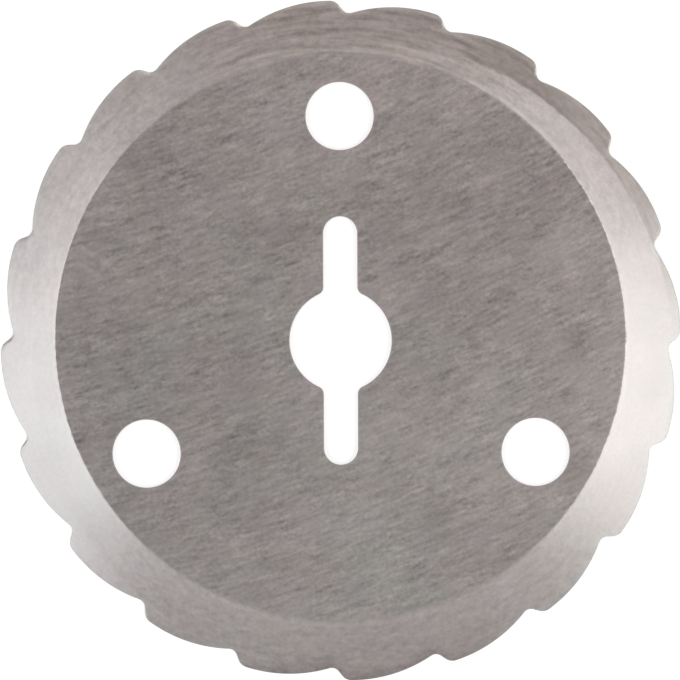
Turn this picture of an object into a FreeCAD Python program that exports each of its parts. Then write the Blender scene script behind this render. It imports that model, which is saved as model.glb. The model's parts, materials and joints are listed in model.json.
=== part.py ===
import FreeCAD, Part
import math
import os
import Sketcher

# A slicing disc: one plate of stainless steel, cut to shape and then ground
# on one side only. It lies on its flat back, ground side up. The origin is on
# the spindle axis in the plane of the back, +Z leaves the ground side and +Y
# runs along the keyhole's slot. Lengths are millimetres, angles are degrees.
SIZES = [
    ("tip_diameter", 100.0),
    ("thickness", 1.5),
    ("tooth_count", 20),
    ("tooth_depth", 1.85),
    ("tooth_phase", 1.75),
    ("crest_lead", 3.9),
    ("gullet_radius", 1.3),
    ("flank_angle", 39.0),
    ("nose_radius", 1.8),
    ("bevel_width", 8.05),
    ("bevel_offset", 0.4),
    ("edge_thickness", 0.18),
    ("facet_width", 3.0),
    ("facet_bite", 0.1),
    ("facet_offset_x", 0.33),
    ("facet_offset_y", -0.13),
    ("bore_diameter", 15.0),
    ("slot_width", 5.0),
    ("slot_length", 36.5),
    ("slot_corner_radius", 0.55),
    ("hole_diameter", 10.0),
    ("hole_circle_diameter", 66.0),
    ("hole_count", 3),
    ("edge_break", 0.1),
]

doc = FreeCAD.newDocument("slicing_disc")
sheet = doc.addObject("Spreadsheet::Sheet", "dims")
for row, (name, value) in enumerate(SIZES, start=1):
    sheet.set(f"A{row}", name)
    sheet.set(f"B{row}", str(value))
    sheet.setAlias(f"B{row}", name)
doc.recompute()

# Lengths and angles that several features share, as expressions of the sheet.
TIP_RADIUS = "dims.tip_diameter / 2"
STOCK_RADIUS = f"{TIP_RADIUS} + dims.tooth_depth"
CLEAR_RADIUS = f"{TIP_RADIUS} + 2 * dims.tooth_depth"
CLEAR_HEIGHT = "dims.thickness + dims.tooth_depth"
BEVEL_START = f"{TIP_RADIUS} - dims.bevel_width"
GROUND_EDGE = "(dims.edge_thickness + dims.facet_bite)"
BEVEL_SLOPE = f"((dims.thickness - {GROUND_EDGE}) / dims.bevel_width)"
BORE_RADIUS = "dims.bore_diameter / 2"
SLOT_HALF_WIDTH = "dims.slot_width / 2"
SLOT_REACH = "(dims.slot_length - dims.slot_width) / 2"
PITCH = "360 / dims.tooth_count"
LEAD = f"dims.crest_lead / ({TIP_RADIUS}) * 180 / pi"

# How a sketch names the points of its lines and arcs, and its own axes.
START, END, CENTRE = range(1, 4)
X_AXIS, Y_AXIS = range(-1, -3, -1)
ORIGIN = (X_AXIS, START)
UP = FreeCAD.Vector(0, 0, 1)
CLOSE = 1e-4


def point(x, y):
    return FreeCAD.Vector(x, y, 0)


def value_of(expression):
    """The number that an expression of the sheet gives now."""
    return float(sheet.evalExpression(expression))


def drive(sketch, expression, kind, *where):
    """Adds a constraint whose value follows an expression of the sheet."""
    now = value_of(expression)
    if kind == "Angle":
        now = math.radians(now)
    index = sketch.addConstraint(Sketcher.Constraint(kind, *where, now))
    sketch.setExpression(f"Constraints[{index}]", expression)


def tie(sketch, kind, *where):
    """Adds a constraint without a value."""
    sketch.addConstraint(Sketcher.Constraint(kind, *where))


def line(sketch, start, end, construction=False):
    return sketch.addGeometry(Part.LineSegment(start, end), construction)


def circle(sketch, centre, radius):
    return sketch.addGeometry(Part.Circle(centre, UP, radius), False)


def arc(sketch, centre, start, end, construction=False):
    """The arc that turns anticlockwise round a centre from one point to another."""
    first = math.atan2(start.y - centre.y, start.x - centre.x)
    last = math.atan2(end.y - centre.y, end.x - centre.x)
    whole = Part.Circle(centre, UP, start.distanceToPoint(centre))
    return sketch.addGeometry(Part.ArcOfCircle(whole, first, last), construction)


def add_sketch(body, name, plane):
    """A sketch on one of the body's own origin planes."""
    sketch = body.newObject("Sketcher::SketchObject", name)
    support = next(f for f in body.Origin.OriginFeatures if f.Role == plane)
    sketch.AttachmentSupport = [(support, "")]
    sketch.MapMode = "FlatFace"
    return sketch


def check_sketch(sketch):
    """Stops unless the sketch solves and nothing in it is left free."""
    if sketch.solve() != 0 or not sketch.FullyConstrained:
        raise RuntimeError(f"{sketch.Label} isn't fully constrained")


def check_cut(cut, before):
    """Recomputes after a cut and stops if it takes nothing away."""
    doc.recompute()
    if not cut.Shape.Volume < before:
        raise RuntimeError(f"{cut.Label} removes nothing")


def cut_through(body, name, sketch):
    """A pocket right through the plate, both ways from the plane of the back."""
    check_sketch(sketch)
    before = body.Tip.Shape.Volume
    pocket = body.newObject("PartDesign::Pocket", name)
    pocket.Profile = sketch
    pocket.Type = "ThroughAll"
    pocket.Midplane = True
    check_cut(pocket, before)
    return pocket


def repeat_round(body, name, cut, sketch, count):
    """Copies of a cut, evenly spaced round the spindle axis."""
    before = body.Tip.Shape.Volume
    pattern = body.newObject("PartDesign::PolarPattern", name)
    pattern.Originals = [cut]
    pattern.Axis = (sketch, ["N_Axis"])
    pattern.Angle = 360
    pattern.setExpression("Occurrences", count)
    body.Tip = pattern
    check_cut(pattern, before)


def cut_blank(body):
    """The round plate, one tooth depth larger all round than the crests."""
    sketch = add_sketch(body, "blank_outline", "XY_Plane")
    rim = circle(sketch, point(0, 0), value_of(STOCK_RADIUS))
    tie(sketch, "Coincident", rim, CENTRE, *ORIGIN)
    drive(sketch, STOCK_RADIUS, "Radius", rim)
    check_sketch(sketch)
    plate = body.newObject("PartDesign::Pad", "blank")
    plate.Profile = sketch
    plate.setExpression("Length", "dims.thickness")
    doc.recompute()


def grind_cone(body, name, near, far, offset_x, offset_y):
    """Grinds away what lies above a cone, given by two (radius, height) points.

    The section's line runs on past both points, out of the stock. The cone's
    axis may lie a little beside the spindle axis, as the grinding left it.
    """
    sketch = add_sketch(body, f"{name}_section", "XZ_Plane")
    sketch.setExpression("AttachmentOffset.Base.x", offset_x)
    sketch.setExpression("AttachmentOffset.Base.z", f"-({offset_y})")
    near_r, near_z, far_r, far_z = (value_of(size) for size in near + far)
    slope = (far_z - near_z) / (far_r - near_r)
    outer, top = value_of(CLEAR_RADIUS), value_of(CLEAR_HEIGHT)
    high = point(near_r + (top - near_z) / slope, top)
    low = point(outer, near_z + (outer - near_r) * slope)
    corner = point(outer, top)
    cone = line(sketch, high, low)
    side = line(sketch, low, corner)
    roof = line(sketch, corner, high)
    tie(sketch, "Coincident", cone, END, side, START)
    tie(sketch, "Coincident", side, END, roof, START)
    tie(sketch, "Coincident", roof, END, cone, START)
    tie(sketch, "Vertical", side)
    tie(sketch, "Horizontal", roof)
    drive(sketch, CLEAR_RADIUS, "DistanceX", *ORIGIN, side, END)
    drive(sketch, CLEAR_HEIGHT, "DistanceY", *ORIGIN, side, END)
    for radius, height in (near, far):
        place = point(value_of(radius), value_of(height))
        mark = sketch.addGeometry(Part.Point(place), True)
        drive(sketch, radius, "DistanceX", *ORIGIN, mark, START)
        drive(sketch, height, "DistanceY", *ORIGIN, mark, START)
        tie(sketch, "PointOnObject", mark, START, cone)
    check_sketch(sketch)
    before = body.Tip.Shape.Volume
    groove = body.newObject("PartDesign::Groove", name)
    groove.Profile = sketch
    groove.ReferenceAxis = (sketch, ["V_Axis"])
    groove.Angle = 360
    check_cut(groove, before)


def grind_bevels(body):
    """The wide bevel, then the steeper facet that thins its rim to an edge.

    The facet's centre isn't the bevel's, so the facet is a crescent, widest
    at the upper left and running out at the lower right.
    """
    start = (BEVEL_START, "dims.thickness")
    ground_edge = (TIP_RADIUS, GROUND_EDGE)
    grind_cone(body, "main_bevel", start, ground_edge, "0", "dims.bevel_offset")
    ridge_radius = f"{TIP_RADIUS} - dims.facet_width"
    ridge_height = f"{GROUND_EDGE} + dims.facet_width * {BEVEL_SLOPE}"
    ridge = (ridge_radius, ridge_height)
    sharp_edge = (TIP_RADIUS, "dims.edge_thickness")
    offset = ("dims.facet_offset_x", "dims.facet_offset_y")
    grind_cone(body, "edge_facet", ridge, sharp_edge, *offset)


def cut_keyhole(body):
    """The spindle bore, with one round-ended slot across it for a driving key.

    Half of the outline is drawn from the bore's wall, round a corner and out
    along the slot's side to its end and back, then the same half turned round.
    """
    sketch = add_sketch(body, "keyhole_outline", "XY_Plane")
    bore = value_of(BORE_RADIUS)
    half = value_of(SLOT_HALF_WIDTH)
    reach = value_of(SLOT_REACH)
    corner = value_of("dims.slot_corner_radius")
    corner_x = half + corner
    corner_y = math.sqrt((bore + corner) ** 2 - corner_x**2)
    wall_x, wall_y = (side * bore / (bore + corner) for side in (corner_x, corner_y))
    walls, corners, sides, ends, outline = [], [], [], [], []
    for turn in (1, -1):

        def at(x, y):
            return point(turn * x, turn * y)

        wall = arc(sketch, at(0, 0), at(wall_x, -wall_y), at(wall_x, wall_y))
        near = arc(sketch, at(corner_x, corner_y), at(half, corner_y), at(wall_x, wall_y))
        out = line(sketch, at(half, corner_y), at(half, reach))
        end = arc(sketch, at(0, reach), at(half, reach), at(-half, reach))
        back = line(sketch, at(-half, reach), at(-half, corner_y))
        far = arc(sketch, at(-corner_x, corner_y), at(-wall_x, wall_y), at(-half, corner_y))
        walls.append(wall)
        corners += [near, far]
        sides += [out, back]
        ends.append(end)
        outline += [(wall, START, END), (near, END, START), (out, START, END)]
        outline += [(end, START, END), (back, START, END), (far, END, START)]
    for (edge, _, leaves), (following, enters, _) in zip(outline, outline[1:] + outline[:1]):
        tie(sketch, "Tangent", edge, leaves, following, enters)
    for wall in walls:
        tie(sketch, "Coincident", wall, CENTRE, *ORIGIN)
    for side in sides:
        tie(sketch, "Vertical", side)
    tie(sketch, "PointOnObject", ends[0], CENTRE, Y_AXIS)
    tie(sketch, "Symmetric", ends[0], CENTRE, ends[1], CENTRE, *ORIGIN)
    for like in (walls, corners, ends):
        for other in like[1:]:
            tie(sketch, "Equal", like[0], other)
    drive(sketch, BORE_RADIUS, "Radius", walls[0])
    drive(sketch, "dims.slot_corner_radius", "Radius", corners[0])
    drive(sketch, SLOT_HALF_WIDTH, "Radius", ends[0])
    drive(sketch, SLOT_REACH, "DistanceY", *ORIGIN, ends[0], CENTRE)
    cut_through(body, "keyhole", sketch)


def cut_pin_holes(body):
    """Round holes for driving pins, the first of them in line with the slot."""
    sketch = add_sketch(body, "pin_hole_outline", "XY_Plane")
    place = "dims.hole_circle_diameter / 2"
    radius = "dims.hole_diameter / 2"
    wall = circle(sketch, point(0, value_of(place)), value_of(radius))
    tie(sketch, "PointOnObject", wall, CENTRE, Y_AXIS)
    drive(sketch, place, "DistanceY", *ORIGIN, wall, CENTRE)
    drive(sketch, radius, "Radius", wall)
    hole = cut_through(body, "pin_hole", sketch)
    repeat_round(body, "pin_holes", hole, sketch, "dims.hole_count")


def break_hole_edges(body):
    """Takes the burr off every edge of the holes, on both sides of the plate."""
    base = body.Tip
    levels = (0, value_of("dims.thickness"))
    face_radius = value_of(f"{BEVEL_START} - dims.bevel_offset")
    edges = []
    for number, edge in enumerate(base.Shape.Edges, start=1):
        box = edge.BoundBox
        flat = any(max(abs(box.ZMin - z), abs(box.ZMax - z)) < CLOSE for z in levels)
        reach = max(math.hypot(v.X, v.Y) for v in edge.Vertexes)
        if flat and reach < face_radius - CLOSE:
            edges.append(f"Edge{number}")
    chamfer = body.newObject("PartDesign::Chamfer", "broken_edges")
    chamfer.Base = (base, edges)
    chamfer.setExpression("Size", "dims.edge_break")
    doc.recompute()


def gullet_points():
    """Corners and arc centres of the gullet that stands on the +Y axis.

    Clockwise, the rim falls from the nose of one tooth down its steep flank
    into the gullet, then climbs the long back of the next tooth. The back is
    one arc that touches the gullet's arc and the circle through the crests,
    so its radius follows from where the crest is.
    """
    tip = value_of(TIP_RADIUS)
    gullet = value_of("dims.gullet_radius")
    nose = value_of("dims.nose_radius")
    rise = tip - value_of("dims.tooth_depth") + gullet
    pitch = math.radians(value_of(PITCH))
    lead = math.radians(value_of(LEAD))
    flank = math.radians(value_of("dims.flank_angle"))
    crest = pitch - lead
    away = tip - rise * math.cos(crest)
    apart = tip**2 + rise**2 - 2 * tip * rise * math.cos(crest)
    back = (apart - gullet**2) / (2 * (away + gullet))
    arm = tip - back
    at = {"gullet": point(0, rise)}
    at["back"] = point(arm * math.sin(crest), arm * math.cos(crest))
    at["last_back"] = point(-arm * math.sin(lead), arm * math.cos(lead))
    at["last_crest"] = point(-tip * math.sin(lead), tip * math.cos(lead))
    up_flank = point(-math.sin(flank), math.cos(flank))
    into_tooth = point(-math.cos(flank), -math.sin(flank))
    at["flank_foot"] = at["gullet"] + into_tooth * gullet
    from_last = at["flank_foot"] + into_tooth * nose - at["last_back"]
    lean = from_last.dot(up_flank)
    run = math.sqrt(lean**2 - from_last.dot(from_last) + (back - nose) ** 2) - lean
    at["flank_head"] = at["flank_foot"] + up_flank * run
    at["nose"] = at["flank_head"] + into_tooth * nose
    at["nose_start"] = at["last_back"] + (at["nose"] - at["last_back"]).normalize() * back
    at["back_foot"] = at["gullet"] + (at["back"] - at["gullet"]).normalize() * gullet
    turn = FreeCAD.Rotation(UP, -value_of(PITCH))
    at["next_nose"] = turn.multVec(at["nose_start"])
    clear = value_of(CLEAR_RADIUS)
    at["rim_start"] = point(clear * math.sin(pitch), clear * math.cos(pitch))
    at["rim_end"] = at["last_crest"] * (clear / tip)
    return at


def cut_teeth(body):
    """The gullets, which leave hooked teeth that all lean the same way.

    One gullet is drawn on the +Y axis from the nose of the tooth before it to
    the nose of the tooth after it, and closed outside the stock with sides
    that lean over its neighbours. Construction lines place both tooth backs.
    """
    sketch = add_sketch(body, "gullet_outline", "XY_Plane")
    sketch.AttachmentOffset = FreeCAD.Placement(point(0, 0), FreeCAD.Rotation(UP, -1))
    sketch.setExpression("AttachmentOffset.Rotation.Yaw", "-dims.tooth_phase")
    at = gullet_points()
    nose = arc(sketch, at["nose"], at["flank_head"], at["nose_start"])
    flank = line(sketch, at["flank_foot"], at["flank_head"])
    gullet = arc(sketch, at["gullet"], at["flank_foot"], at["back_foot"])
    back = arc(sketch, at["back"], at["next_nose"], at["back_foot"])
    side = line(sketch, at["next_nose"], at["rim_start"])
    rim = arc(sketch, point(0, 0), at["rim_start"], at["rim_end"])
    last_side = line(sketch, at["rim_end"], at["nose_start"])
    tie(sketch, "Tangent", nose, START, flank, END)
    tie(sketch, "Tangent", flank, START, gullet, START)
    tie(sketch, "Tangent", gullet, END, back, END)
    tie(sketch, "Coincident", back, START, side, START)
    tie(sketch, "Coincident", side, END, rim, START)
    tie(sketch, "Coincident", rim, END, last_side, START)
    tie(sketch, "Coincident", last_side, END, nose, END)
    tie(sketch, "Coincident", rim, CENTRE, *ORIGIN)
    drive(sketch, CLEAR_RADIUS, "Radius", rim)

    last_back = arc(sketch, at["last_back"], at["nose_start"], at["last_crest"], True)
    last_ray = line(sketch, point(0, 0), at["last_back"], True)
    crest_ray = line(sketch, point(0, 0), at["back"], True)
    next_ray = line(sketch, point(0, 0), at["rim_start"], True)
    nose_ray = line(sketch, point(0, 0), at["nose_start"], True)
    next_nose_ray = line(sketch, point(0, 0), at["next_nose"], True)
    for ray in (last_ray, crest_ray, next_ray, nose_ray, next_nose_ray):
        tie(sketch, "Coincident", ray, START, *ORIGIN)
    tie(sketch, "Coincident", last_ray, END, last_back, CENTRE)
    tie(sketch, "Coincident", crest_ray, END, back, CENTRE)
    tie(sketch, "Coincident", next_ray, END, rim, START)
    tie(sketch, "Coincident", nose_ray, END, nose, END)
    tie(sketch, "Coincident", next_nose_ray, END, back, START)
    tie(sketch, "Tangent", last_back, START, nose, END)
    tie(sketch, "PointOnObject", last_back, END, last_ray)
    tie(sketch, "PointOnObject", rim, END, last_ray)
    tie(sketch, "Equal", last_back, back)
    tie(sketch, "Equal", last_ray, crest_ray)
    tie(sketch, "PointOnObject", gullet, CENTRE, Y_AXIS)
    drive(sketch, TIP_RADIUS, "Distance", *ORIGIN, last_back, END)
    root = f"{TIP_RADIUS} - dims.tooth_depth + dims.gullet_radius"
    drive(sketch, root, "DistanceY", *ORIGIN, gullet, CENTRE)
    drive(sketch, "dims.gullet_radius", "Radius", gullet)
    drive(sketch, "dims.nose_radius", "Radius", nose)
    drive(sketch, "90 + dims.flank_angle", "Angle", flank)
    drive(sketch, f"90 + {LEAD}", "Angle", last_ray)
    drive(sketch, f"90 - {PITCH} + {LEAD}", "Angle", crest_ray)
    drive(sketch, f"90 - {PITCH}", "Angle", next_ray)
    drive(sketch, PITCH, "Angle", next_nose_ray, START, nose_ray, START)
    tooth_gap = cut_through(body, "gullet", sketch)
    repeat_round(body, "gullets", tooth_gap, sketch, "dims.tooth_count")


def check_and_save(body):
    """Stops on any failed feature, then writes the finished solid."""
    doc.recompute()
    for item in doc.Objects:
        if "Invalid" in item.State or "Error" in item.State:
            raise RuntimeError(f"{item.Label} failed: {item.State}")
    if body.Shape.isNull() or not body.Shape.isValid() or len(body.Shape.Solids) != 1:
        raise RuntimeError(f"{body.Label} isn't one valid solid")
    os.makedirs("parts", exist_ok=True)
    body.Shape.exportStep(f"parts/{body.Label}.step")
    print(body.Label, "volume", round(body.Shape.Volume, 2), "faces", len(body.Shape.Faces))


disc = doc.addObject("PartDesign::Body", "slicing_disc")
cut_blank(disc)
grind_bevels(disc)
cut_keyhole(disc)
cut_pin_holes(disc)
break_hole_edges(disc)
cut_teeth(disc)
check_and_save(disc)
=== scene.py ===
import json
import math
from types import SimpleNamespace

import bpy
import numpy as np
from mathutils.geometry import tessellate_polygon
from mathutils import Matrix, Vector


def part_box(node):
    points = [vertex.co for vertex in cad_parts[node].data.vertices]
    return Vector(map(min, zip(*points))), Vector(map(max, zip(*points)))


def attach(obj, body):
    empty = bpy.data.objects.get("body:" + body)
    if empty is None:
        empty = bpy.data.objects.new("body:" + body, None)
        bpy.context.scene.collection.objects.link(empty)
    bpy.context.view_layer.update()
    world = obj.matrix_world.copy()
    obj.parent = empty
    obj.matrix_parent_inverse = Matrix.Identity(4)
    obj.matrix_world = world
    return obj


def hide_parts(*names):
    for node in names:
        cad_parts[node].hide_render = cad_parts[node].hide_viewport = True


# The frame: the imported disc, lying on its flat back with the ground side up.
# Its box gives the outer size and the thickness, and its mounts the holes.
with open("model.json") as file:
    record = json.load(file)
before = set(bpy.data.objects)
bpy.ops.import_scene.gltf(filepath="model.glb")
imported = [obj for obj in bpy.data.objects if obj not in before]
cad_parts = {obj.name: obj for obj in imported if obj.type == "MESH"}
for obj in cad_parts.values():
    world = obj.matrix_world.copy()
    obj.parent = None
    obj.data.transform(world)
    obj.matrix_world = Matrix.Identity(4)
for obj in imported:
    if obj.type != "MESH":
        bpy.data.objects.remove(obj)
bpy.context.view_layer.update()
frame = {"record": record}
low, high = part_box("slicing_disc")
mounts = {mount["name"]: mount["dims"] for mount in frame["record"]["mounts"]}

# The toothed rim: twenty hooked teeth cut round the plate. Each has a long
# round back, a small round nose and a straight steep flank that drops into a
# round gullet. Seen from the ground side they point clockwise.
MM = 0.001
THICKNESS = high.z - low.z
TIP_RADIUS = 50.0 * MM
TOOTH_COUNT = 20
TOOTH_DEPTH = 1.85 * MM
FIRST_GULLET = math.radians(1.75)
CREST_LEAD = 3.9 * MM
GULLET_RADIUS = 1.3 * MM
FLANK_ANGLE = math.radians(39)
NOSE_RADIUS = 1.8 * MM
STEPS_ON = {"nose": 22, "flank": 6, "gullet": 16, "back": 36}


def clockwise(angle, radius=1.0):
    """Points at an angle clockwise from +Y, seen from above, and a distance out."""
    return np.stack([np.sin(angle) * radius, np.cos(angle) * radius], axis=-1)


def round_bend(centre, radius, first, last, steps):
    """Points and outward directions on an arc, without its last point.

    A point is the centre plus the radius along the direction whose
    anticlockwise angle from +X runs evenly from first to last.
    """
    angle = np.linspace(first, last, steps, endpoint=False)
    away = np.stack([np.cos(angle), np.sin(angle)], axis=1)
    return centre + radius * away, away


def heading(start, end):
    """The anticlockwise angle from +X of the way from one point to another."""
    return math.atan2(end[1] - start[1], end[0] - start[0])


def tooth_outline():
    """One pitch of the rim from a nose to the next nose, with outward directions.

    The back of a tooth is the one arc that touches both the gullet's arc and
    the circle through the crests. Its radius is the square of the distance
    from crest to gullet centre, less the gullet radius squared, over twice the
    sum of that radius and the gullet centre's depth below the crest. The nose
    is as far up the flank as lets it touch the back as well.
    """
    pitch = 2 * math.pi / TOOTH_COUNT
    lead = CREST_LEAD / TIP_RADIUS
    rise = TIP_RADIUS - TOOTH_DEPTH + GULLET_RADIUS
    crest = pitch - lead
    drop = TIP_RADIUS - rise * math.cos(crest) + GULLET_RADIUS
    apart = TIP_RADIUS**2 + rise**2 - 2 * TIP_RADIUS * rise * math.cos(crest)
    back_radius = (apart - GULLET_RADIUS**2) / (2 * drop)
    gullet = np.array([0.0, rise])
    back = clockwise(crest, TIP_RADIUS - back_radius)
    last_back = clockwise(-lead, TIP_RADIUS - back_radius)
    up_flank = np.array([-math.sin(FLANK_ANGLE), math.cos(FLANK_ANGLE)])
    into_tooth = np.array([-math.cos(FLANK_ANGLE), -math.sin(FLANK_ANGLE)])
    foot = gullet + into_tooth * GULLET_RADIUS
    start = foot + into_tooth * NOSE_RADIUS - last_back
    lean = start @ up_flank
    reach = back_radius - NOSE_RADIUS
    run = math.sqrt(lean**2 - start @ start + reach**2) - lean
    nose = foot + up_flank * run + into_tooth * NOSE_RADIUS
    nose_start = heading(last_back, nose)
    back_foot = heading(gullet, back)
    next_nose = nose_start - pitch
    nose_arc, nose_out = round_bend(
        nose, NOSE_RADIUS, nose_start, FLANK_ANGLE, STEPS_ON["nose"]
    )
    down = np.linspace(1, 0, STEPS_ON["flank"], endpoint=False)[:, None]
    flank = foot + up_flank * run * down
    flank_out = np.tile(-into_tooth, (STEPS_ON["flank"], 1))
    gullet_arc, into_plate = round_bend(
        gullet, GULLET_RADIUS, FLANK_ANGLE - math.pi, back_foot, STEPS_ON["gullet"]
    )
    back_arc, back_out = round_bend(
        back, back_radius, back_foot + math.pi, next_nose, STEPS_ON["back"]
    )
    points = np.concatenate([nose_arc, flank, gullet_arc, back_arc])
    return points, np.concatenate([nose_out, flank_out, -into_plate, back_out])


def turned(points, angles):
    """Copies of some points turned clockwise by each of the angles, one after another."""
    cos, sin = np.cos(angles), np.sin(angles)
    turn = np.stack([np.stack([cos, sin], axis=1), np.stack([-sin, cos], axis=1)], axis=1)
    return np.einsum("tij,pj->tpi", turn, points).reshape(-1, 2)


tooth_turns = FIRST_GULLET + np.arange(TOOTH_COUNT) * 2 * math.pi / TOOTH_COUNT
tooth_points, tooth_ways = tooth_outline()
rim = turned(tooth_points, tooth_turns)
rim_out = turned(tooth_ways, tooth_turns)

# The ground side: a flat middle, a wide bevel whose axis lies a little off the
# bore, and a steeper facet that thins the rim to an edge. The facet's centre
# isn't the bevel's either, so it is a crescent that runs out at lower right.
BEVEL_WIDTH = 8.05 * MM
BEVEL_CENTRE = np.array([0.0, 0.4]) * MM
EDGE_THICKNESS = 0.18 * MM
FACET_WIDTH = 3.0 * MM
FACET_BITE = 0.1 * MM
FACET_CENTRE = np.array([0.33, -0.13]) * MM
SOFT = 0.03 * MM
RIDGE_SOFT = 0.3 * MM
FACET_SOFT = 0.2 * MM
STEPS_OVER_RIDGE = 7
STEPS_TO_NEXT = 6
STEPS_OVER_EDGE = 4

bevel_start = TIP_RADIUS - BEVEL_WIDTH
bevel_slope = (THICKNESS - EDGE_THICKNESS - FACET_BITE) / BEVEL_WIDTH
facet_slope = bevel_slope + FACET_BITE / FACET_WIDTH
facet_start = TIP_RADIUS - (THICKNESS - EDGE_THICKNESS) / facet_slope


def worn_max(first, second, near):
    """The larger of two numbers, and a little more where they are near each other.

    With h the amount by which their difference falls short of near, that
    little more is h squared over four times near, so the ridge comes out round.
    """
    short = np.maximum(near - abs(first - second), 0)
    return np.maximum(first, second) + short**2 / (4 * near)


def ground_height(points):
    """Height of the ground side: the lowest of the face, the bevel and the facet.

    Each cone falls evenly with the distance from its own centre, starting at
    the face where that distance is the cone's starting radius.
    """
    bevel = np.linalg.norm(points - BEVEL_CENTRE, axis=-1) - bevel_start
    facet = np.linalg.norm(points - FACET_CENTRE, axis=-1) - facet_start
    cones = worn_max(
        bevel * bevel_slope, facet * facet_slope, FACET_SOFT * (facet_slope - bevel_slope)
    )
    return THICKNESS - worn_max(cones, 0, RIDGE_SOFT * bevel_slope)


def ground_rings():
    """Rings of points from the flat middle out to the rim, dense at each ridge.

    Along every ray a ring is a distance from the spindle axis. The bevel
    starts where the ray meets its circle, and the facet where the two cones
    are equally low, or just inside the rim where it has run out.
    """
    length = np.linalg.norm(rim, axis=1)
    ray = rim / length[:, None]
    along = ray @ BEVEL_CENTRE
    start = along + np.sqrt(bevel_start**2 - BEVEL_CENTRE @ BEVEL_CENTRE + along**2)
    lift = facet_slope * (facet_start + ray @ FACET_CENTRE)
    lift -= bevel_slope * (bevel_start + ray @ BEVEL_CENTRE)
    ridge = np.minimum(lift / (facet_slope - bevel_slope), length - 2 * FACET_SOFT)
    beside = np.linspace(-1, 1, STEPS_OVER_RIDGE)[:, None]
    between = np.linspace(0, 1, STEPS_TO_NEXT)[1:-1, None]
    edge = length - 2 * SOFT
    bevel, bevel_end = start + RIDGE_SOFT, ridge - FACET_SOFT
    facet = ridge + FACET_SOFT
    rings = [start + beside * RIDGE_SOFT, bevel + (bevel_end - bevel) * between]
    rings += [ridge + beside * FACET_SOFT, facet + (edge - facet) * between, edge[None]]
    flat = ray[None] * np.concatenate(rings)[:, :, None]
    return np.concatenate([flat, ground_height(flat)[..., None]], axis=2)


def edge_rings(outline, outward, depths, levels):
    """Rings beside an outline: each set back from it by a depth, at a level."""
    flat = outline[None] - outward[None] * depths[:, None, None]
    height = np.broadcast_to(levels, (len(depths), len(outline)))
    return np.concatenate([flat, height[..., None]], axis=2)


quarter = np.linspace(0, math.pi / 2, STEPS_OVER_EDGE)
round_over = (1 - np.sin(quarter)) * SOFT
round_down = (1 - np.cos(quarter)) * SOFT
rim_top = ground_height(rim)
rim_depths = np.concatenate([round_over, round_over[::-1], [3 * SOFT]])
rim_levels = np.concatenate(
    [
        rim_top[None] - round_down[:, None],
        np.broadcast_to(round_down[::-1, None], (len(quarter), len(rim))),
        np.zeros((1, len(rim))),
    ]
)
rim_rings = np.concatenate(
    [ground_rings(), edge_rings(rim, rim_out, rim_depths, rim_levels)]
)

# The holes: a spindle bore with one round-ended driving slot across it, and
# three pin holes on one circle, the first in line with the slot. They are cut
# square through the plate, and the burr is taken off both edges of each.
BORE_RADIUS = mounts["spindle_bore"]["r_mm"] * MM
PIN_RADIUS = mounts["pin_holes"]["hole_r_mm"] * MM
PIN_CIRCLE = mounts["pin_holes"]["pcd_mm"] / 2 * MM
PIN_COUNT = mounts["pin_holes"]["count"]
SLOT_HALF_WIDTH = 2.5 * MM
SLOT_HALF_LENGTH = 18.25 * MM
SLOT_CORNER = 1.2 * MM
EDGE_BREAK = 0.1 * MM
HOLE_STEPS = {"round": 96, "corner": 20, "side": 12, "end": 48}


def keyhole_outline():
    """The bore and slot, anticlockwise, with directions that point into the hole.

    Half of it is the bore's wall, a small corner, the slot's side, its round
    end, the other side and the other corner. The other half is that half
    turned by 180 degrees.
    """
    corner_x = SLOT_HALF_WIDTH + SLOT_CORNER
    corner_y = math.sqrt((BORE_RADIUS + SLOT_CORNER) ** 2 - corner_x**2)
    opening = math.atan2(corner_y, corner_x)
    reach = SLOT_HALF_LENGTH - SLOT_HALF_WIDTH
    rise = np.linspace(corner_y, reach, HOLE_STEPS["side"], endpoint=False)
    side = np.stack([np.full_like(rise, SLOT_HALF_WIDTH), rise], axis=1)
    wall, wall_way = round_bend(
        np.zeros(2), BORE_RADIUS, -opening, opening, HOLE_STEPS["round"]
    )
    near, near_way = round_bend(
        np.array([corner_x, corner_y]),
        SLOT_CORNER,
        opening + math.pi,
        math.pi,
        HOLE_STEPS["corner"],
    )
    end, end_way = round_bend(
        np.array([0, reach]), SLOT_HALF_WIDTH, 0, math.pi, HOLE_STEPS["end"]
    )
    back = np.stack([-side[:, 0], corner_y + reach - rise], axis=1)
    far, far_way = round_bend(
        np.array([-corner_x, corner_y]), SLOT_CORNER, 0, -opening, HOLE_STEPS["corner"]
    )
    level = np.tile([1.0, 0.0], (len(rise), 1))
    points = np.concatenate([wall, near, side, end, back, far])
    ways = np.concatenate([-wall_way, near_way, -level, -end_way, level, far_way])
    return np.concatenate([points, -points]), np.concatenate([ways, -ways])


def pin_hole_outline(turn):
    """One pin hole, anticlockwise, at a clockwise angle round the spindle axis."""
    centre = clockwise(turn, PIN_CIRCLE)
    points, away = round_bend(centre, PIN_RADIUS, 0, 2 * math.pi, HOLE_STEPS["round"])
    return points, -away


hole_outlines = [keyhole_outline()]
hole_outlines += [pin_hole_outline(k * 2 * math.pi / PIN_COUNT) for k in range(PIN_COUNT)]

# The broken edge is a small slope with a ring close to each of its corners, as
# shares of its size: how far back from the wall each ring is, and how far down.
BROKEN_BACK = np.array([1.5, 1.15, 0.95, 0.05, 0, 0])
break_depths = BROKEN_BACK * EDGE_BREAK
break_falls = BROKEN_BACK[::-1] * EDGE_BREAK
hole_depths = np.concatenate([break_depths, break_depths[::-1]])
hole_levels = np.concatenate([THICKNESS - break_falls, break_falls[::-1]])[:, None]
hole_rings = [
    edge_rings(points, ways, hole_depths, hole_levels) for points, ways in hole_outlines
]


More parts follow.
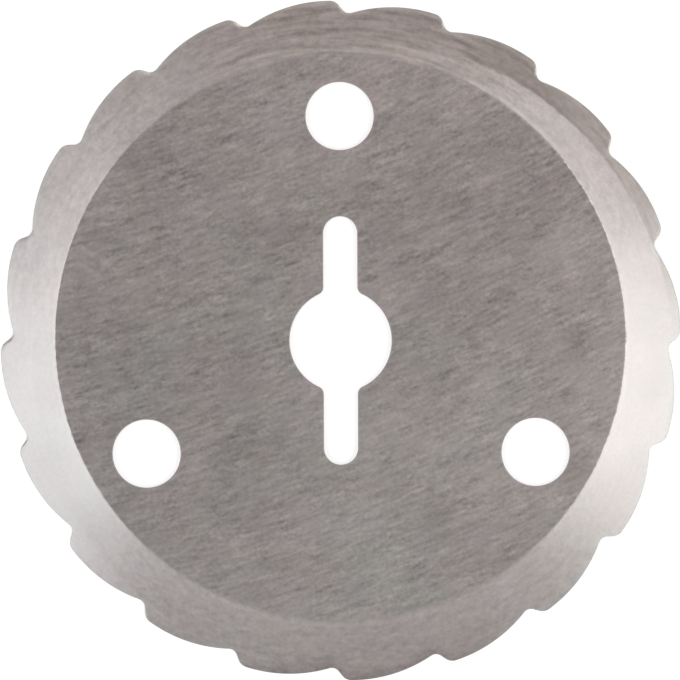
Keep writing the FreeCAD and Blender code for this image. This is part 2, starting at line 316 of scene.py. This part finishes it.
# The disc itself: one plate of steel with nothing fixed to it, so one closed
# skin. It runs in rings from the flat middle over the rim to the back, and
# through each hole, and flat faces fill what is left of both sides.
class Skin:
    """Gathers rings and flat faces into one closed mesh, each with a finish."""

    def __init__(self):
        self.points = []
        self.count = 0
        self.faces = []
        self.finishes = []

    def add_rings(self, rings, finishes):
        """Quads between neighbouring closed rings; returns the first and the last ring."""
        rows, steps = rings.shape[:2]
        here = self.count + np.arange(rows * steps).reshape(rows, steps)
        ahead = np.roll(here, -1, axis=1)
        quads = np.stack([here[:-1], ahead[:-1], ahead[1:], here[1:]], axis=-1)
        self.faces += quads.reshape(-1, 4).tolist()
        self.finishes += np.repeat(finishes, steps).tolist()
        self.points.append(rings.reshape(-1, 3))
        self.count += rows * steps
        return here[0], here[-1]

    def add_flat(self, loops, finish, upward):
        """Triangles that fill the first loop and leave the other loops open."""
        places = np.concatenate(self.points)
        corners = [places[loop] for loop in loops]
        triangles = np.concatenate(loops)[np.array(tessellate_polygon(corners))]
        first, second, third = (places[triangles[:, k]][:, :2] for k in range(3))
        area = np.cross(second - first, third - first)
        wrong = (area > 0) != upward
        triangles[wrong] = triangles[wrong][:, ::-1]
        self.faces += triangles.tolist()
        self.finishes += [finish] * len(triangles)

    def make(self, name):
        """The closed mesh as an object of the scene."""
        mesh = bpy.data.meshes.new(name)
        mesh.from_pydata(np.concatenate(self.points), [], self.faces)
        mesh.polygons.foreach_set("material_index", np.array(self.finishes, np.int32))
        mesh.polygons.foreach_set("use_smooth", np.ones(len(self.faces), bool))
        mesh.validate()
        mesh.update()
        piece = bpy.data.objects.new(name, mesh)
        bpy.context.scene.collection.objects.link(piece)
        return piece


GROUND, BACK, CUT = range(3)
rim_finishes = np.full(len(rim_rings) - 1, CUT)
rim_finishes[: len(rim_rings) - len(rim_depths)] = GROUND
skin = Skin()
top_loop, back_loop = skin.add_rings(rim_rings, rim_finishes)
top_loops, back_loops = [top_loop], [back_loop]
hole_finishes = np.array([GROUND] + [CUT] * (len(hole_depths) - 3) + [BACK])
for rings in hole_rings:
    top, back = skin.add_rings(rings, hole_finishes)
    top_loops.append(top)
    back_loops.append(back)
skin.add_flat(top_loops, GROUND, True)
skin.add_flat(back_loops, BACK, False)
disc = skin.make("ground_disc")
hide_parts("slicing_disc")
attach(disc, "root")

# How far each point of the ground side lies inside the rim, for its finish.
inside = np.linalg.norm(rim, axis=1) - np.linalg.norm(rim_rings[..., :2], axis=2)
to_edge = np.full(len(disc.data.vertices), TIP_RADIUS)
to_edge[: inside.size] = inside.ravel()
disc.data.attributes.new("to_edge", "FLOAT", "POINT").data.foreach_set("value", to_edge)

# The strokes on the flat faces, of bare stainless steel: a large wheel passed
# over the plate from the left in crossing directions and left it satin.
STEEL = (0.585, 0.55, 0.533)
WHEEL_DISTANCE = 378 * MM
FACE_LIE = math.radians(20.8)

# A row of the passes has the direction in degrees anticlockwise from +X, the
# width and the length of a line in millimetres, and the weight.
FACE_PASSES = [
    (20.8, 0.58, 2.9, 0.57),
    (35.0, 0.56, 2.4, 0.4),
    (8.0, 0.56, 2.4, 0.38),
    (21.5, 0.66, 9.0, 0.38),
    (19.0, 1.8, 8.0, 0.36),
]

# A cloud of noise has the size of its patches, its detail, and a shift that
# picks other noise. Weights are named for what they weigh, beside a plain
# amount that the rest is added to.
FACE_GRAIN = (0.55 * MM, 1.0)
GRAIN_WEIGHT = 0.5
PRESSURE_PATCHES = (3 * MM, 2.0, 0.9)
PRESSURE = {"plain": 1.0, "patches": 2.1}
FACE_SHARE = 0.84
FACE_ROUGH = 0.38
STROKE_DEPTH = 0.02 * MM
DRAWN_OUT = 0.9


class Nodes:
    """A node tree whose short calls each add one node and return a socket."""

    def __init__(self, tree):
        self.tree = tree
        self.spot = self.add("ShaderNodeTexCoord", {})
        self.place = self.spot.outputs["Object"]

    def add(self, kind, inputs, **settings):
        """A node with its settings, each input a value or a socket to link."""
        node = self.tree.nodes.new(kind)
        for name, setting in settings.items():
            setattr(node, name, setting)
        for key, value in inputs.items():
            self.feed(node.inputs[key], value)
        return node

    def feed(self, socket, value):
        """Links a socket into an input, or sets the input to a value."""
        if isinstance(value, bpy.types.NodeSocket):
            self.tree.links.new(value, socket)
        else:
            socket.default_value = value

    def dress(self, inputs):
        """Links or sets the named inputs of the tree's own shader."""
        shader = self.tree.nodes["Principled BSDF"]
        for name, value in inputs.items():
            self.feed(shader.inputs[name], value)

    def number(self, operation, *values):
        """One step of arithmetic on numbers."""
        inputs = dict(enumerate(values))
        return self.add("ShaderNodeMath", inputs, operation=operation).outputs[0]

    def vector(self, operation, *values):
        """One step of arithmetic on vectors."""
        node = self.add("ShaderNodeVectorMath", dict(enumerate(values)), operation=operation)
        return node.outputs["Value" if operation in ("LENGTH", "DOT_PRODUCT") else "Vector"]

    def scaled(self, vector, factor):
        """A vector times a number."""
        node = self.add("ShaderNodeVectorMath", {0: vector, "Scale": factor}, operation="SCALE")
        return node.outputs["Vector"]

    def noise(self, where, scale, detail):
        """Soft noise whose mean is zero."""
        inputs = {"Vector": where, "Scale": scale, "Detail": detail}
        return self.number("SUBTRACT", self.add("ShaderNodeTexNoise", inputs).outputs[0], 0.5)

    def cloud(self, size, detail, shift=0.0):
        """Noise over the place on the piece, in patches of about a size."""
        return self.noise(self.vector("ADD", self.place, (shift,) * 3), 1 / size, detail)

    def mixed(self, factor, first, second):
        """The first number where the factor is zero, and the second where it is one."""
        step = self.number("SUBTRACT", second, first)
        return self.number("MULTIPLY_ADD", factor, step, first)

    def mixed_way(self, factor, first, second):
        """The same for two directions of strokes, the short way round from one to the other."""
        agree = self.number("SIGN", self.vector("DOT_PRODUCT", first, second))
        first = self.scaled(first, agree)
        step = self.scaled(self.vector("SUBTRACT", second, first), factor)
        return self.vector("NORMALIZE", self.vector("ADD", first, step))

    def fade(self, value, near, far):
        """One up to near, falling smoothly to zero at far."""
        inputs = {"Value": value, "From Min": near, "From Max": far, "To Min": 1.0, "To Max": 0.0}
        node = self.add("ShaderNodeMapRange", inputs, interpolation_type="SMOOTHSTEP")
        return node.outputs[0]

    def blend(self, layers):
        """The sum of some layers, each times its weight."""
        total = 0.0
        for layer, weight in layers:
            total = self.number("MULTIPLY_ADD", layer, weight, total)
        return total

    def weighed(self, weights, **layers):
        """The sum of the named layers, each times the weight of its name, and a plain amount."""
        total = weights.get("plain", 0.0)
        for name, layer in layers.items():
            total = self.number("MULTIPLY_ADD", layer, weights[name], total)
        return total


def new_finish(name):
    """A new material and the nodes of its tree."""
    material = bpy.data.materials.new(name)
    material.use_nodes = True
    return material, Nodes(material.node_tree)


def aim(direction):
    """The centre of the passes that run in a direction at the spindle axis.

    It lies the wheel's distance away, a quarter turn anticlockwise from the
    direction, which is an angle anticlockwise from +X.
    """
    return np.array([-math.sin(direction), math.cos(direction)]) * WHEEL_DISTANCE


def away_from(steel, centre):
    """The way out from a centre in the plane of the disc, and the distance."""
    offset = steel.vector("SUBTRACT", steel.place, (*centre, 0))
    offset = steel.vector("MULTIPLY", offset, (1, 1, 0))
    return steel.vector("NORMALIZE", offset), steel.vector("LENGTH", offset)


def passes(steel, away, distance, radius, width, length, detail=2.0):
    """Lines left by a wheel that passes round a centre, as noise about zero.

    The noise is taken over the distance from the centre, divided by a line's
    width, and over the way round it, divided by a line's length.
    """
    turn = steel.scaled(away, radius / length)
    depth = steel.add("ShaderNodeCombineXYZ", {2: steel.number("DIVIDE", distance, width)})
    return steel.noise(steel.vector("ADD", turn, depth.outputs[0]), 1.0, detail)


def cross_strokes(steel):
    """The face's strokes, deeper in patches, and the way across most of them."""
    layers = []
    for direction, width, length, weight in FACE_PASSES:
        out, distance = away_from(steel, aim(math.radians(direction)))
        lines = passes(steel, out, distance, WHEEL_DISTANCE, width * MM, length * MM)
        layers.append((lines, weight))
    layers.append((steel.cloud(*FACE_GRAIN), GRAIN_WEIGHT))
    pressure = steel.weighed(PRESSURE, patches=steel.cloud(*PRESSURE_PATCHES))
    away, _ = away_from(steel, aim(FACE_LIE))
    return steel.number("MULTIPLY", steel.blend(layers), pressure), away


def stroked(steel, level, tints, rough, strokes, away):
    """Metal whose gloss is drawn out across its strokes.

    Its colour is the steel's times a level and times one plus the tints, each
    of them times its amount.
    """
    hue = (1.0, 1.0, 1.0)
    for tint, amount in tints:
        hue = steel.vector("ADD", hue, steel.scaled(tint, amount))
    colour = steel.scaled(steel.vector("MULTIPLY", hue, STEEL), level)
    relief = {"Height": strokes, "Distance": STROKE_DEPTH, "Strength": 1.0}
    bump = steel.add("ShaderNodeBump", relief)
    steel.dress(
        {
            "Base Color": colour,
            "Metallic": 1.0,
            "Roughness": rough,
            "Anisotropic": DRAWN_OUT,
            "Tangent": away,
            "Normal": bump.outputs[0],
        }
    )


def plain_back():
    """The flat back, with the same strokes as the face and no stains."""
    material, steel = new_finish("plain_back")
    strokes, away = cross_strokes(steel)
    level = steel.number("MULTIPLY_ADD", strokes, FACE_SHARE, FACE_SHARE)
    stroked(steel, level, [], FACE_ROUGH, strokes, away)
    return material


# The face of the ground side: its steel has been handled, so it is faintly
# stained in patches, and pinker towards the upper right. Its level is also
# painted lighter towards the bottom and a little to the right, as painted
# light. Two fine scratches and two pale specks show at the left.
PINK = (0.05, -0.04, 0.0)
BROWN = (0.05, -0.01, -0.06)
YELLOW = (0.0025, 0.0025, -0.009)
FACE_HALF = 40 * MM
PAINTED_LIGHT_WAY = (0.4, -1)
PINKER_WAY = (0.5, 1)
YELLOWER_WAY = (1, 0.7)

# A row of patches is a cloud of noise and then its weight. The shifts and
# weights were searched for, so that the patches lie much as the photo's do.
FACE_PATCHES = [
    (9 * MM, 2.0, 1.795, -0.24),
    (9 * MM, 2.0, 0.603, 0.22),
    (14 * MM, 1.0, 10.165, -0.22),
    (20 * MM, 1.0, 3.069, 0.27),
    (40 * MM, 1.0, 8.110, -0.62),
]
FACE_BLUSH_PATCHES = [(22 * MM, 1.0, 5.329, -0.8), (8 * MM, 1.0, 8.275, 1.1)]
# The last weight lifts the face's level towards the bottom and a little to the right, as painted
# light.
FACE_LEVEL = {"plain": 1.047, "strokes": 1.0, "patches": 1.0, "scratches": 0.13, "paler": 0.024}
FACE_BLUSH = {"plain": 0.04, "patches": 1.0, "pinker": 0.33}
SMOOTHER = -0.1

# Each scratch runs from one point to another, in millimetres.
SCRATCHES = [
    ((-38.0, 13.9), (-33.2, 10.7)),
    ((-38.5, 11.6), (-35.5, 9.5)),
    ((-30.1, 6.8), (-29.3, 6.7)),
    ((-29.7, 5.5), (-29.2, 5.4)),
]
SCRATCH_HALF = 0.6 * MM


def slope(steel, way, size):
    """A number that rises along a way, by one over a size."""
    return steel.vector("DOT_PRODUCT", steel.place, (way[0] / size, way[1] / size, 0))


def patches(steel, rows):
    """The sum of the clouds of noise in some rows, each times its weight."""
    return steel.blend([(steel.cloud(*cloud), weight) for *cloud, weight in rows])


def scratch(steel, start, end):
    """One along a fine straight scratch, falling smoothly to zero beside it.

    The distance is the one to the nearest point of the line from start to end.
    """
    start, end = (np.array([*point, 0.0]) * MM for point in (start, end))
    run = end - start
    offset = steel.vector("SUBTRACT", steel.place, tuple(start))
    offset = steel.vector("MULTIPLY", offset, (1, 1, 0))
    share = steel.vector("DOT_PRODUCT", offset, tuple(run / (run @ run)))
    share = steel.add("ShaderNodeClamp", {0: share}).outputs[0]
    aside = steel.vector("SUBTRACT", offset, steel.scaled(tuple(run), share))
    return steel.fade(steel.vector("LENGTH", aside), 0.0, SCRATCH_HALF)


def face_finish(steel, strokes):
    """The face's level, blush and roughness; its bright strokes are the smoother ones."""
    level = steel.weighed(
        FACE_LEVEL,
        strokes=strokes,
        patches=patches(steel, FACE_PATCHES),
        scratches=steel.blend([(scratch(steel, *ends), 1.0) for ends in SCRATCHES]),
        paler=slope(steel, PAINTED_LIGHT_WAY, FACE_HALF),
    )
    blush = steel.weighed(
        FACE_BLUSH,
        patches=patches(steel, FACE_BLUSH_PATCHES),
        pinker=slope(steel, PINKER_WAY, FACE_HALF),
    )
    rough = steel.number("MULTIPLY_ADD", strokes, SMOOTHER, FACE_ROUGH)
    return steel.number("MULTIPLY", level, FACE_SHARE), blush, rough


# The bevel and its facet: ground into the plate after its face, with the plate
# turning, so the lines are short and run round it. Some stretches of the rim
# are coarser or browner than the rest, and one is darker and pinker near the
# edge at the bottom. On others the level is painted lighter or darker to follow
# how the light falls round the rim: painted highlights and painted shade.

# The centres that the gloss is drawn out from were fitted with the softboxes.
BEVEL_GRIND = np.array([-4.7, 7.0]) * MM
FACET_GRIND = np.array([3.6, 0.4]) * MM

# A stretch has its middle and its half width in degrees clockwise from +Y, and
# the number of half widths from its middle at which it has faded out. They are
# placed where the photo's rim differs from the light's even fall round it.
STRETCHES = {
    "coarse": (3, 19, 1.9),
    # Where the painted ridge highlight is widest, at the top.
    "lip": (15, 12, 2.6),
    "warm": (42, 12, 2),
    # A stretch that is coarser, pinker and browner, and whose facet is painted darker as painted
    # shade.
    "worn": (56, 14, 2.4),
    "dull": (176, 12, 2),
    # The bottom highlight is a painted highlight: it lifts the level of the inner bevel, and of
    # the ridge, at the bottom of the disc.
    "shine": (187, 10, 3),
    # The facet highlight is a painted highlight: it lifts the facet's level at the left.
    "bright": (295, 12, 4.2),
    # The bevel shade is painted shade: it lowers the bevel's level at the left, a little above
    # the middle.
    "faint": (302, 6, 3),
}

# The strokes: the width and the length of each sort of line.
MIDDLE_OF_BEVEL = 46 * MM
SHORT_LINE = (0.66 * MM, 1.4 * MM)
STREAK = (0.8 * MM, 9 * MM)
BEVEL_GRAIN = (0.5 * MM, 1.0, 0.6)
BEVEL_STROKES = {"short": 0.42, "grain": 0.24, "streaks": 0.16, "coarse": 0.8}
WORN_COARSE = 0.6
CALM = {"plain": 0.76, "upright": 0.3}
BEVEL_ROUGH = {"plain": 0.4057, "strokes": 0.3}

# Bands of the bevel: where each starts to fade and where it has faded out, as
# a distance from the bevel's axis or, for the last three, from the rim.
INNER_BEVEL = (43.5 * MM, 47 * MM)
BOTTOM_HIGHLIGHT_INSIDE = (43 * MM, 46 * MM)
DARKER_EDGE_REACH = (0.0, 2.4 * MM)
CLEAN_EDGE = (0.0, 1.0 * MM)
# The edge highlight: a painted highlight along the edge, lighter towards the top.
EDGE_HIGHLIGHT_BAND = (0.1 * MM, 0.9 * MM)

# How bright, pink and brown the bevel is. The shifts and weights of its patches
# of brightness were searched for, as the face's were.
UP_WAY = (0, 1)
BELOW_WAY = (-0.5, -1)
BEVEL_PATCHES = [(7 * MM, 2.0, 0.151, -0.12), (16 * MM, 1.0, 1.466, -0.17)]
BEVEL_BLUSH_PATCHES = [(20 * MM, 1.0, 0.2, 0.5), (6 * MM, 1.0, 0.4, 0.5)]
BEVEL_LEVEL = {
    "plain": 0.96,
    "strokes": 1.0,
    "coarse": -0.022,
    "patches": 1.0,
    "inner": 0.04,
    # Painted highlight on the inner bevel at the bottom.
    "shine": 0.03,
    # Painted highlight along the edge of the upper half.
    "fringe": 0.1,
    "dull": -0.2,
}
# The bevel's level as a share: darker at the left as painted shade, and a little lighter on the
# warm stretch.
BEVEL_SHARE = {"plain": 1.0, "faint": -0.07, "warm": 0.03}
# The facet's level as a share of the bevel's: lighter at the left as a painted highlight, and
# darker on a stretch at the upper right as painted shade.
FACET_SHARE = {"plain": 0.94, "bright": 0.05, "worn": -0.11}
BEVEL_BLUSH = {
    "plain": 0.28,
    "patches": 1.0,
    "below": -0.26,
    "worn": 0.14,
    "clean": -0.4,
    "dull": 0.4,
}
BROWN_PATCHES = (7 * MM, 2.0, 0.7)
COARSE_PATCHES = (5 * MM, 1.0, 0.5)
COARSE_BROWN = {"plain": 0.4, "patches": 1.0}
BROWN_STAIN = {"patches": 0.6, "coarse": 1.0, "worn": 0.15, "warm": 0.22, "lip": -0.3}


def stretch(steel, out, middle, half, spread):
    """One on a stretch of the rim, falling smoothly to zero past its ends.

    The cosine of the angle between the way out and the stretch's middle falls
    from the cosine of the half width to that of spread times the half width.
    """
    toward = (*clockwise(math.radians(middle)), 0)
    half = math.radians(half)
    turn = steel.vector("DOT_PRODUCT", out, toward)
    return steel.fade(turn, math.cos(half), math.cos(half * spread))


def bevel_places(steel):
    """What the bevel's finish asks of a place: where it is, and on which stretches.

    Upright is the squared cosine of the angle from +Y, so it is one at the top
    and bottom of the disc. The darker stretch at the bottom is only near the edge.
    """
    out, far = away_from(steel, BEVEL_CENTRE)
    upright = steel.vector("DOT_PRODUCT", out, (0, 1, 0))
    upright = steel.number("MULTIPLY", upright, upright)
    edge = steel.add("ShaderNodeAttribute", {}, attribute_name="to_edge").outputs["Fac"]
    on = {name: stretch(steel, out, *span) for name, span in STRETCHES.items()}
    on["dull"] = steel.number("MULTIPLY", on["dull"], steel.fade(edge, *DARKER_EDGE_REACH))
    return SimpleNamespace(out=out, far=far, upright=upright, edge=edge, **on)


def short_strokes(steel, at, coarse):
    """The bevel's short lines and grain, and longer streaks where it is coarse."""
    streaks = passes(steel, at.out, at.far, MIDDLE_OF_BEVEL, *STREAK, detail=3.0)
    return steel.weighed(
        BEVEL_STROKES,
        short=passes(steel, at.out, at.far, MIDDLE_OF_BEVEL, *SHORT_LINE),
        grain=steel.cloud(*BEVEL_GRAIN),
        streaks=streaks,
        coarse=steel.number("MULTIPLY", streaks, coarse),
    )


def bevel_level(steel, at, strokes, on_facet):
    """The bevel's level, and the facet's as a share of it.

    The strokes are calmer at the sides of the disc than at its top and bottom,
    and a pale band along the upper half of the edge is painted on, a painted
    highlight. Painted highlights and painted shade on some stretches of the rim
    lift or lower it too.
    """
    calm = steel.weighed(CALM, upright=at.upright)
    fringe = steel.number("MAXIMUM", slope(steel, UP_WAY, TIP_RADIUS), 0.0)
    level = steel.weighed(
        BEVEL_LEVEL,
        strokes=steel.number("MULTIPLY", strokes, calm),
        coarse=at.coarse,
        patches=patches(steel, BEVEL_PATCHES),
        inner=steel.fade(at.far, *INNER_BEVEL),
        shine=steel.number("MULTIPLY", at.shine, steel.fade(at.far, *BOTTOM_HIGHLIGHT_INSIDE)),
        fringe=steel.number("MULTIPLY", fringe, steel.fade(at.edge, *EDGE_HIGHLIGHT_BAND)),
        dull=at.dull,
    )
    bevel_share = steel.weighed(BEVEL_SHARE, faint=at.faint, warm=at.warm)
    facet_share = steel.weighed(FACET_SHARE, bright=at.bright, worn=at.worn)
    return steel.number("MULTIPLY", level, steel.mixed(on_facet, bevel_share, facet_share))


def bevel_blush(steel, at):
    """How pink the bevel is: more on the worn stretch at the upper right and near the edge at the
    bottom, less at the edge and below.
    """
    return steel.weighed(
        BEVEL_BLUSH,
        patches=patches(steel, BEVEL_BLUSH_PATCHES),
        below=steel.number("MAXIMUM", slope(steel, BELOW_WAY, TIP_RADIUS), 0.0),
        worn=at.worn,
        clean=steel.fade(at.edge, *CLEAN_EDGE),
        dull=at.dull,
    )


def brown_stain(steel, at, on_bevel, coarse, worn, lip):
    """How brown the steel is: in patches all over, and where the bevel is coarse or warm."""
    coarse = steel.number("MULTIPLY", on_bevel, coarse)
    uneven = steel.weighed(COARSE_BROWN, patches=steel.cloud(*COARSE_PATCHES))
    return steel.weighed(
        BROWN_STAIN,
        patches=steel.cloud(*BROWN_PATCHES),
        coarse=steel.number("MULTIPLY", coarse, uneven),
        worn=worn,
        warm=steel.number("MULTIPLY", on_bevel, at.warm),
        lip=lip,
    )


# The ridges between the face, the bevel and the facet: worn, so each finish
# frays into the next. Along the bevel's ridge a thin bright line is painted into
# the colour, a painted highlight where the rounded ridge catches the light: wide
# at the top and, fainter, at the bottom.
RAGGED = (1.6 * MM, 2.0, 0.2)
BEVEL_BRINK = {"far": 1.0, "ragged": 0.3 * MM, "strokes": 0.15 * MM}
BRINK_FROM = {"plain": bevel_start - 0.05 * MM, "upright": -0.75 * MM}
BRINK_TO = {"plain": bevel_start + 0.25 * MM, "upright": -0.2 * MM}
TURN_BRINK = {"far": 1.0, "strokes": 0.06 * MM, "upright": 0.13 * MM}
TURNED_FROM = bevel_start - 0.12 * MM
TURNED_TO = bevel_start + 0.08 * MM
FACET_LEAD = {"bevel": bevel_slope, "facet": -facet_slope, "ragged": 0.02 * MM}

# The painted highlight on the ridge: how far from its middle each band of it
# starts to fade and has faded.
HIGHLIGHT_MIDDLE = bevel_start + 0.28 * MM
WIDE_HIGHLIGHT = (0.04 * MM, 0.48 * MM)
NARROW_HIGHLIGHT = (0.1 * MM, 0.5 * MM)
HIGHLIGHT_PATCHES = (6 * MM, 2.0)
HIGHLIGHT_PATCHY = {"plain": 0.5, "patches": 1.0}
HIGHLIGHT_LEVEL = {"wide": 0.23, "narrow": 0.05}
BOTTOM_HIGHLIGHT_SHARE = 0.4
HIGHLIGHT_PINK = -0.35


def past_bevel_ridge(steel, at, ragged, strokes):
    """One on the bevel and zero on the face, in a line that the face's strokes fray.

    It starts further in at the top and bottom of the disc than at its sides.
    """
    brink = steel.weighed(BEVEL_BRINK, far=at.far, ragged=ragged, strokes=strokes)
    starts = steel.weighed(BRINK_FROM, upright=at.upright)
    ends = steel.weighed(BRINK_TO, upright=at.upright)
    return steel.number("SUBTRACT", 1.0, steel.fade(brink, starts, ends))


def turned_strokes(steel, at, strokes):
    """One where the strokes have turned to run round the disc, and zero on the face."""
    brink = steel.weighed(TURN_BRINK, far=at.far, strokes=strokes, upright=at.upright)
    return steel.fade(brink, TURNED_TO, TURNED_FROM)


def past_facet_ridge(steel, at, ragged):
    """One on the facet and zero on the bevel, by which of the two cones is lower."""
    _, facet_far = away_from(steel, FACET_CENTRE)
    lead = steel.weighed(
        FACET_LEAD,
        bevel=steel.number("SUBTRACT", at.far, bevel_start),
        facet=steel.number("SUBTRACT", facet_far, facet_start),
        ragged=ragged,
    )
    turnover = FACET_SOFT * (facet_slope - bevel_slope)
    return steel.fade(lead, -turnover, turnover)


def painted_ridge_highlight(steel, at):
    """The wide band of the painted ridge highlight by itself, and how much both bands lift the
    level, in patches.
    """
    gap = steel.number("ABSOLUTE", steel.number("SUBTRACT", at.far, HIGHLIGHT_MIDDLE))
    highlit = steel.number("MULTIPLY_ADD", at.shine, BOTTOM_HIGHLIGHT_SHARE, at.lip)
    wide = steel.number("MULTIPLY", steel.fade(gap, *WIDE_HIGHLIGHT), highlit)
    ridge_highlights = steel.weighed(HIGHLIGHT_LEVEL, wide=wide, narrow=steel.fade(gap, *NARROW_HIGHLIGHT))
    patchy = steel.weighed(HIGHLIGHT_PATCHY, patches=steel.cloud(*HIGHLIGHT_PATCHES))
    return wide, steel.number("MULTIPLY", ridge_highlights, patchy)


def ground_side():
    """The whole ground side: the finish of the face inside the ridge, the bevel's past it."""
    material, steel = new_finish("ground_side")
    at = bevel_places(steel)
    ragged = steel.cloud(*RAGGED)
    face_strokes, face_away = cross_strokes(steel)
    face_level, face_blush, face_rough = face_finish(steel, face_strokes)
    on_bevel = past_bevel_ridge(steel, at, ragged, face_strokes)
    on_facet = past_facet_ridge(steel, at, ragged)

    worn = steel.number("MULTIPLY", at.worn, on_facet)
    coarse = steel.number("MAXIMUM", at.coarse, steel.number("MULTIPLY", worn, WORN_COARSE))
    bevel_strokes = short_strokes(steel, at, coarse)
    bevel_rough = steel.weighed(BEVEL_ROUGH, strokes=bevel_strokes)
    # A painted highlight along the bevel's ridge: it lifts the level, and makes the steel less
    # pink and less brown under it.
    wide_highlight, ridge_highlights = painted_ridge_highlight(steel, at)

    level = bevel_level(steel, at, bevel_strokes, on_facet)
    level = steel.number("ADD", steel.mixed(on_bevel, face_level, level), ridge_highlights)
    blush = steel.mixed(on_bevel, face_blush, bevel_blush(steel, at))
    blush = steel.number("MULTIPLY_ADD", wide_highlight, HIGHLIGHT_PINK, blush)
    brown = brown_stain(steel, at, on_bevel, coarse, worn, wide_highlight)
    yellow = slope(steel, YELLOWER_WAY, FACE_HALF)
    tints = [(PINK, blush), (BROWN, brown), (YELLOW, yellow)]

    bevel_away, _ = away_from(steel, BEVEL_GRIND)
    facet_away, _ = away_from(steel, FACET_GRIND)
    away = steel.mixed_way(on_facet, bevel_away, facet_away)
    away = steel.mixed_way(turned_strokes(steel, at, face_strokes), face_away, away)
    rough = steel.mixed(on_bevel, face_rough, bevel_rough)
    strokes = steel.mixed(on_bevel, face_strokes, bevel_strokes)
    stroked(steel, level, tints, rough, strokes, away)
    return material


# The walls of the holes and the thin rim: cut or sheared through the plate,
# duller than the ground faces and even, with no strokes to see.
CUT_SHARE = 0.7
CUT_ROUGH = 0.5


def cut_wall():
    """The even grey of the cut steel."""
    material, steel = new_finish("cut_wall")
    colour = tuple(channel * CUT_SHARE for channel in STEEL)
    steel.dress({"Base Color": (*colour, 1), "Metallic": 1.0, "Roughness": CUT_ROUGH})
    return material


disc.data.materials.append(ground_side())
disc.data.materials.append(plain_back())
disc.data.materials.append(cut_wall())

# The studio's floor: plain matt paper, just under the disc. The camera and
# reflections see it lifted to white, by a glow that lights no matt surface.
FLOOR_HALF = 10.0
FLOOR_GAP = 0.02 * MM
PAPER = 0.55
GLOW = 0.62
corner_signs = [(-1, -1), (1, -1), (1, 1), (-1, 1)]
floor_corners = [(x * FLOOR_HALF, y * FLOOR_HALF, -FLOOR_GAP) for x, y in corner_signs]
floor_mesh = bpy.data.meshes.new("floor")
floor_mesh.from_pydata(floor_corners, [], [(0, 1, 2, 3)])
floor = bpy.data.objects.new("floor", floor_mesh)
bpy.context.scene.collection.objects.link(floor)


def seen_rays(nodes, *kinds):
    """One for the rays of the named kinds, and zero for the others."""
    path = nodes.add("ShaderNodeLightPath", {})
    total = path.outputs[kinds[0]]
    for kind in kinds[1:]:
        total = nodes.number("MAXIMUM", total, path.outputs[kind])
    return total


def white_floor():
    """Matt paper with a glow for the camera's rays and for those that metal or glass sends on."""
    material, paper = new_finish("white_floor")
    seen = seen_rays(paper, "Is Camera Ray", "Is Glossy Ray", "Is Transmission Ray")
    paper.dress(
        {
            "Base Color": (PAPER, PAPER, PAPER, 1),
            "Roughness": 1.0,
            "Specular IOR Level": 0.0,
            "Emission Color": (1, 1, 1, 1),
            "Emission Strength": paper.number("MULTIPLY", seen, GLOW),
        }
    )
    return material


floor_mesh.materials.append(white_floor())

# The room's soft light: brighter low down all round than overhead, and a
# little warm, so that the steel reflects an even pale grey.
OVERHEAD = 0.45
HORIZON = 0.9
HORIZON_ENDS = 0.35
OVERHEAD_STARTS = 0.95
ROOM_TINT = (1, 0.95, 0.94, 1)
world = bpy.data.worlds.new("studio")
world.use_nodes = True
bpy.context.scene.world = world
sky = Nodes(world.node_tree)
height = sky.add("ShaderNodeSeparateXYZ", {0: sky.spot.outputs["Generated"]}).outputs["Z"]
low_down = sky.fade(height, HORIZON_ENDS, OVERHEAD_STARTS)
background = world.node_tree.nodes["Background"]
sky.feed(background.inputs["Strength"], sky.mixed(low_down, OVERHEAD, HORIZON))
sky.feed(background.inputs["Color"], ROOM_TINT)

# Two softboxes, one on each side: long lamps along Y, hung high and turned to
# face the disc, whose light the strokes spread into a sheen. Their places,
# sizes and strengths were fitted to how bright the photo's bevel is all round.
BOX_ASIDE = 0.6545
BOX_HEIGHT = 1.5
BOX_WIDTH = 0.27


def softbox(name, side, middle, length, colour, radiance):
    """A lamp at a side of the disc, its middle at a place along Y."""
    lamp = bpy.data.lights.new(name, "AREA")
    lamp.shape = "RECTANGLE"
    lamp.size = BOX_WIDTH
    lamp.size_y = length
    lamp.color = colour
    lamp.energy = radiance * math.pi * BOX_WIDTH * length
    holder = bpy.data.objects.new(name, lamp)
    holder.location = (side * BOX_ASIDE, middle, BOX_HEIGHT)
    holder.rotation_euler = (0, side * math.atan2(BOX_ASIDE, BOX_HEIGHT), 0)
    bpy.context.scene.collection.objects.link(holder)


softbox("softbox_right", 1, middle=-0.145, length=0.649, colour=(0.94, 1, 1), radiance=10.17)
softbox("softbox_left", -1, middle=-0.24, length=0.674, colour=(0.89, 0.97, 1), radiance=7.83)

# The camera looks straight down on the disc from far off through a long lens,
# shifted and rolled by the little that the photo is.
LENS = 600
SENSOR = 36
FRAME_WIDTH = 100.0 * MM
CAMERA_SHIFT = (-0.09 * MM, 0.078 * MM)
CAMERA_ROLL = math.radians(-0.26)
SIGHT_RANGE = 20
camera_data = bpy.data.cameras.new("camera")
camera_data.lens = LENS
camera_data.sensor_width = SENSOR
camera_data.clip_end = SIGHT_RANGE
camera = bpy.data.objects.new("camera", camera_data)
camera.location = (*CAMERA_SHIFT, FRAME_WIDTH / SENSOR * LENS)
camera.rotation_euler = (0, 0, CAMERA_ROLL)
bpy.context.scene.collection.objects.link(camera)
bpy.context.scene.camera = camera

bpy.context.scene.view_settings.view_transform = "Standard"
